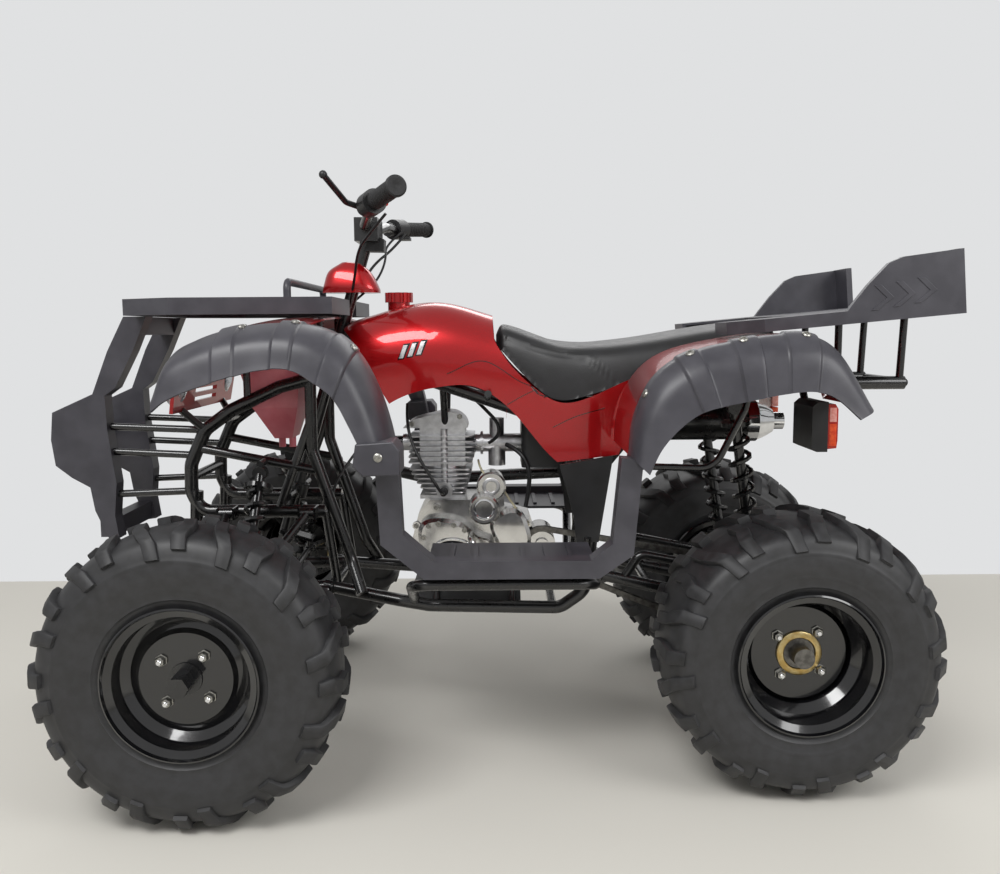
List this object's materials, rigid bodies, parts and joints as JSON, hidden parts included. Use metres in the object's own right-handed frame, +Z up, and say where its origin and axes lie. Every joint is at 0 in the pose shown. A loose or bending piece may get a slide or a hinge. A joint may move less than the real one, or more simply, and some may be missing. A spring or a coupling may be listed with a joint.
{
  "type": "quad bike",
  "caption": "Four-wheeled quad bike with knobbly tyres, moulded fenders, straddle seat, racks front and rear, handlebar steering and an open finned engine.",
  "frame": {"origin": "centre of the overall box, at the floor under the tyres", "axes": "+X from front to rear, the front towards -X; +Y to the vehicle's right; +Z up"},
  "size_m": [1.8932, 1.164, 1.2142],
  "materials": {
    "red_plastic": "gloss metallic red moulded plastic",
    "pink_plastic": "uncoated red plastic seen from behind",
    "grey_plastic": "satin dark grey moulded plastic",
    "black_plastic": "black moulded plastic",
    "black_steel": "black gloss paint on steel",
    "dark_steel": "dark steel",
    "black_rim": "black gloss paint on pressed steel",
    "zinc_plate": "yellow zinc plate",
    "cast_aluminium": "cast aluminium, polished covers",
    "tyre": "matt black rubber",
    "grip_rubber": "black rubber",
    "seat_vinyl": "black vinyl",
    "clear_lens": "clear lens",
    "red_lens": "red and orange lens"
  },
  "bodies": {
    "chassis": {"air_box": "black_plastic", "belly_box": "black_steel", "body_cover": "red_plastic", "carburettor": "cast_aluminium", "chain": "dark_steel", "engine_case": "cast_aluminium", "engine_cylinder": "cast_aluminium", "exhaust": "black_steel", "footguards": "black_plastic", "front_bin": "pink_plastic", "front_fender": "red_plastic", "front_flares": "grey_plastic", "front_frame": "black_steel", "front_guard": "grey_plastic", "front_rack": "grey_plastic", "front_shocks": "black_steel", "headlamps": "clear_lens", "main_frame": "black_steel", "nose_panel": "red_plastic", "rear_fender": "red_plastic", "rear_flares": "grey_plastic", "rear_frame": "black_steel", "rear_rack": "black_plastic", "rear_shocks": "black_steel", "seat": "seat_vinyl", "side_panels": "black_plastic", "step_bars": "black_steel", "swingarm": "black_steel", "tail_lamp": "black_plastic", "tail_lens": "red_lens", "wishbones": "black_steel"},
    "steering": {"steering_column": "black_steel", "handlebar": "black_steel", "grips": "grip_rubber", "bar_controls": "black_plastic", "bar_cover": "red_plastic"},
    "knuckle_left": {"knuckle_left": "black_steel", "front_caliper_left": "zinc_plate"},
    "knuckle_right": {"knuckle_right": "black_steel", "front_caliper_right": "zinc_plate"},
    "front_wheel_left": {"front_tyre_left": "tyre", "front_rim_left": "black_rim", "front_hub_left": "black_steel"},
    "front_wheel_right": {"front_tyre_right": "tyre", "front_rim_right": "black_rim", "front_hub_right": "black_steel"},
    "tie_rod_left": {"tie_rod_left": "black_steel"},
    "tie_rod_right": {"tie_rod_right": "black_steel"},
    "rear_wheels": {"rear_tyres": "tyre", "rear_rims": "black_rim", "rear_axle": "dark_steel"}
  },
  "joints": [
    {"name": "steer", "type": "hinge", "parent": "chassis", "child": "steering", "pos_m": [-0.47096, 0, 0.43999], "axis": [0.2949, 0, 0.9555], "range_deg": [-36, 36]},
    {"name": "knuckle_left_turn", "type": "hinge", "parent": "chassis", "child": "knuckle_left", "pos_m": [-0.53466, -0.44, 0.289], "axis": [0, 0, 1], "range_deg": [-28.8, 28.8]},
    {"name": "knuckle_right_turn", "type": "hinge", "parent": "chassis", "child": "knuckle_right", "pos_m": [-0.53466, 0.44, 0.289], "axis": [0, 0, 1], "range_deg": [-28.8, 28.8]},
    {"name": "tie_rod_left_turn", "type": "hinge", "parent": "knuckle_left", "child": "tie_rod_left", "pos_m": [-0.45466, -0.444, 0.303], "axis": [0, 0, 1], "range_deg": [-29.48, 29.48]},
    {"name": "tie_rod_right_turn", "type": "hinge", "parent": "knuckle_right", "child": "tie_rod_right", "pos_m": [-0.45466, 0.444, 0.303], "axis": [0, 0, 1], "range_deg": [-29.48, 29.48]},
    {"name": "front_wheel_left_spin", "type": "hinge", "parent": "knuckle_left", "child": "front_wheel_left", "pos_m": [-0.53466, -0.485, 0.289], "axis": [0, 1, 0], "continuous": true},
    {"name": "front_wheel_right_spin", "type": "hinge", "parent": "knuckle_right", "child": "front_wheel_right", "pos_m": [-0.53466, 0.485, 0.289], "axis": [0, 1, 0], "continuous": true},
    {"name": "rear_axle_spin", "type": "hinge", "parent": "chassis", "child": "rear_wheels", "pos_m": [0.61734, 0, 0.2795], "axis": [0, 1, 0], "continuous": true}
  ],
  "couplings": [
    {"joint": "knuckle_left_turn", "follows": "steer", "ratio": 0.8},
    {"joint": "knuckle_right_turn", "follows": "steer", "ratio": 0.8},
    {"joint": "tie_rod_left_turn", "follows": "steer", "ratio": -0.819},
    {"joint": "tie_rod_right_turn", "follows": "steer", "ratio": -0.819}
  ]
}
